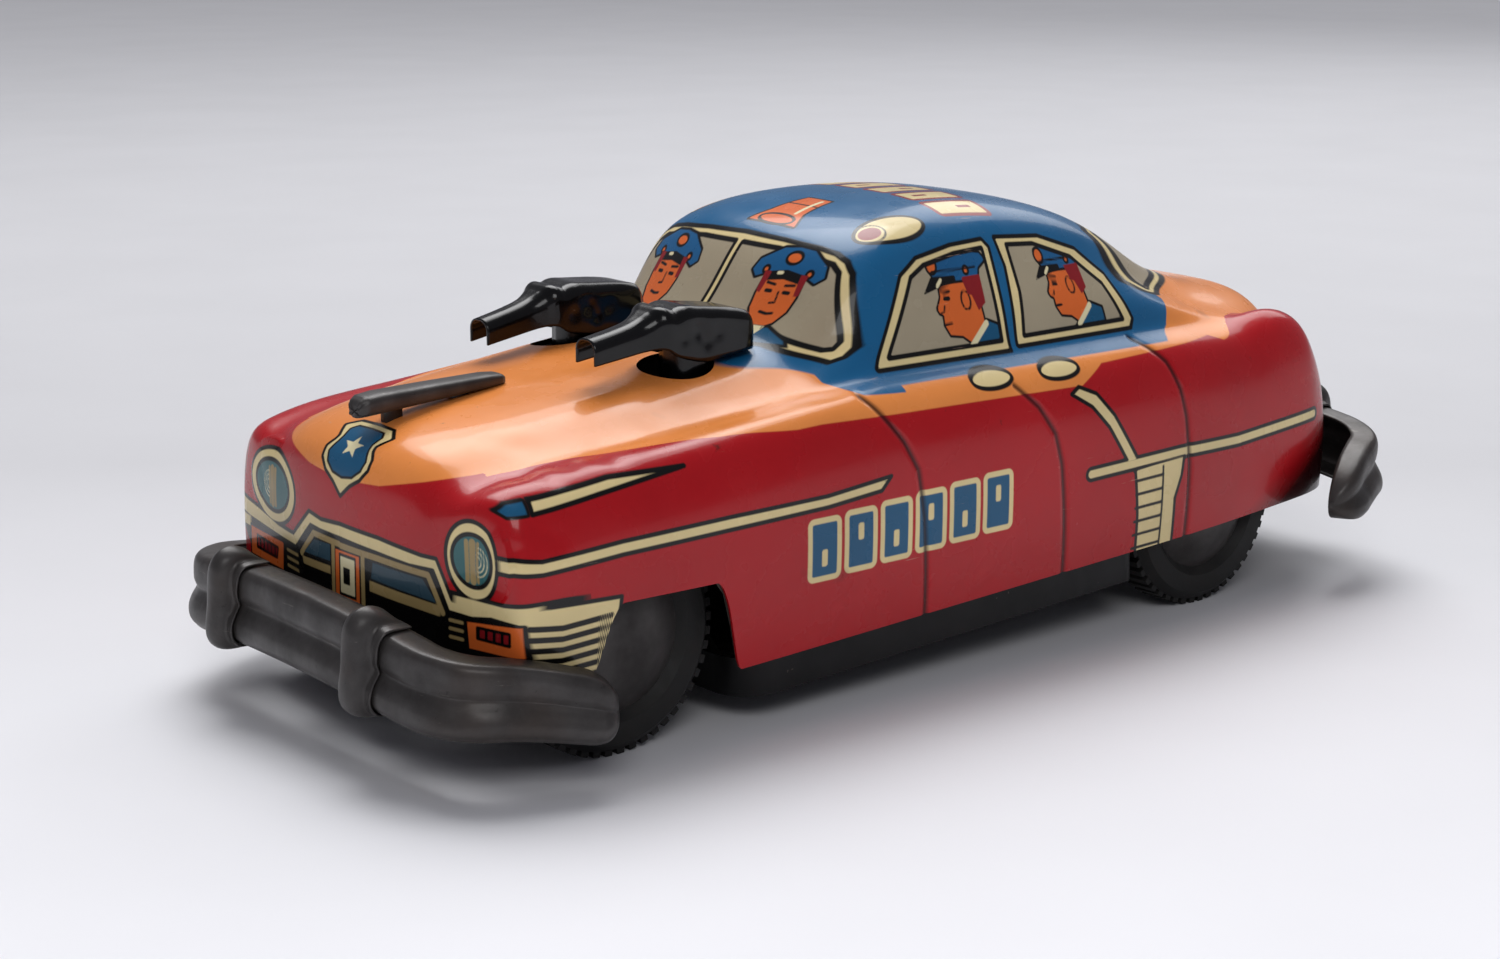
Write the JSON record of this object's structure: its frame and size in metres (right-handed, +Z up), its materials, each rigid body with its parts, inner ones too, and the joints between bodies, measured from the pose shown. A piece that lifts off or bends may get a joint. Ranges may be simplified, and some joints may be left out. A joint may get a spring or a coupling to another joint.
{
  "type": "toy vehicle",
  "caption": "Wind-up tinplate toy saloon car with clockwork rear drive, rocking guns on the bonnet, wrap-round bumpers, notched rubber wheels and a winding key on its side.",
  "frame": {"origin": "on the underside of the base plate, on the centre plane, 77.4 mm behind the front axle; the ground that the wheels stand on lies 7.35 mm below it", "axes": "+X towards the car's nose, +Y to the car's left, +Z up"},
  "size_m": [0.2257, 0.1144, 0.0778],
  "materials": {
    "litho_tin": "glossy printed tinplate in red, orange, blue and cream",
    "black_tin": "semi-gloss black enamel on tinplate",
    "grey_tin": "dull dark grey tarnished tin with a soft sheen",
    "gun_black": "glossy black enamel",
    "motor_steel": "plain pressed and turned steel",
    "spring_steel": "blued spring steel",
    "key_steel": "nickel-plated steel, lightly worn",
    "gear_brass": "stamped brass",
    "hub_tin": "dark grey enamel, semi-gloss",
    "black_rubber": "moulded black rubber, matt"
  },
  "bodies": {
    "frame": {"body_shell": "litho_tin", "base_plate": "black_tin", "base_rivets": "motor_steel", "front_axle_bracket": "motor_steel", "front_bumper": "grey_tin", "rear_bumper": "grey_tin", "front_bumper_arms": "black_tin", "rear_bumper_arms": "black_tin", "front_left_overrider": "grey_tin", "front_right_overrider": "grey_tin", "rear_left_overrider": "grey_tin", "rear_right_overrider": "grey_tin", "bonnet_ornament": "grey_tin", "left_motor_plate": "motor_steel", "right_motor_plate": "motor_steel", "frame_pillars": "motor_steel", "mainspring": "spring_steel", "rocker_bracket": "motor_steel", "rocker_pin": "motor_steel", "rocker_spring": "spring_steel"},
    "front_wheels": {"front_axle": "motor_steel", "front_left_tyre": "black_rubber", "front_right_tyre": "black_rubber", "front_left_hub": "hub_tin", "front_right_hub": "hub_tin"},
    "rear_wheels": {"rear_axle": "motor_steel", "axle_pinion": "gear_brass", "rear_left_tyre": "black_rubber", "rear_right_tyre": "black_rubber", "rear_left_hub": "hub_tin", "rear_right_hub": "hub_tin"},
    "second_shaft": {"second_arbor": "motor_steel", "second_pinion": "gear_brass", "second_wheel": "gear_brass"},
    "flick_shaft": {"flick_arbor": "motor_steel", "flick_pinion": "gear_brass", "star_wheel": "motor_steel"},
    "great_wheel": {"great_wheel": "gear_brass", "click_pin": "motor_steel", "click_spring": "spring_steel"},
    "click": {"click": "motor_steel"},
    "winder": {"winding_arbor": "motor_steel", "ratchet_wheel": "motor_steel", "winding_key": "key_steel"},
    "gun_rocker": {"gun_rocker": "motor_steel", "left_gun": "gun_black", "right_gun": "gun_black"}
  },
  "joints": [
    {"name": "rear_axle_turn", "type": "hinge", "parent": "frame", "child": "rear_wheels", "pos_m": [-0.0575, 0, 0.01165], "axis": [0, 1, 0], "continuous": true},
    {"name": "front_axle_turn", "type": "hinge", "parent": "frame", "child": "front_wheels", "pos_m": [0.0774, 0, 0.01165], "axis": [0, 1, 0], "continuous": true},
    {"name": "second_shaft_turn", "type": "hinge", "parent": "frame", "child": "second_shaft", "pos_m": [-0.04164, 0, 0.02247], "axis": [0, 1, 0], "continuous": true},
    {"name": "great_wheel_turn", "type": "hinge", "parent": "frame", "child": "great_wheel", "pos_m": [-0.0185, 0, 0.02415], "axis": [0, 1, 0], "continuous": true},
    {"name": "flick_shaft_turn", "type": "hinge", "parent": "frame", "child": "flick_shaft", "pos_m": [0.00435, 0, 0.02012], "axis": [0, 1, 0], "continuous": true},
    {"name": "click_lift", "type": "hinge", "parent": "great_wheel", "child": "click", "pos_m": [-0.03025, 0.0006, 0.02842], "axis": [0, -1, 0], "range_deg": [0, 12], "stiffness_Nm_per_rad": 0.002, "springref_deg": -11.46, "deforming": ["click_spring"]},
    {"name": "winding", "type": "hinge", "parent": "frame", "child": "winder", "pos_m": [-0.0185, 0, 0.02415], "axis": [0, 1, 0], "continuous": true},
    {"name": "gun_rocking", "type": "hinge", "parent": "frame", "child": "gun_rocker", "pos_m": [0.046, 0, 0.01765], "axis": [0, 1, 0], "range_deg": [0, 4], "stiffness_Nm_per_rad": 0.2, "springref_deg": -5.73, "deforming": ["rocker_spring"]}
  ],
  "couplings": [
    {"joint": "second_shaft_turn", "follows": "rear_axle_turn", "ratio": -0.33333},
    {"joint": "great_wheel_turn", "follows": "rear_axle_turn", "ratio": 0.069444},
    {"joint": "flick_shaft_turn", "follows": "rear_axle_turn", "ratio": -0.33333}
  ]
}
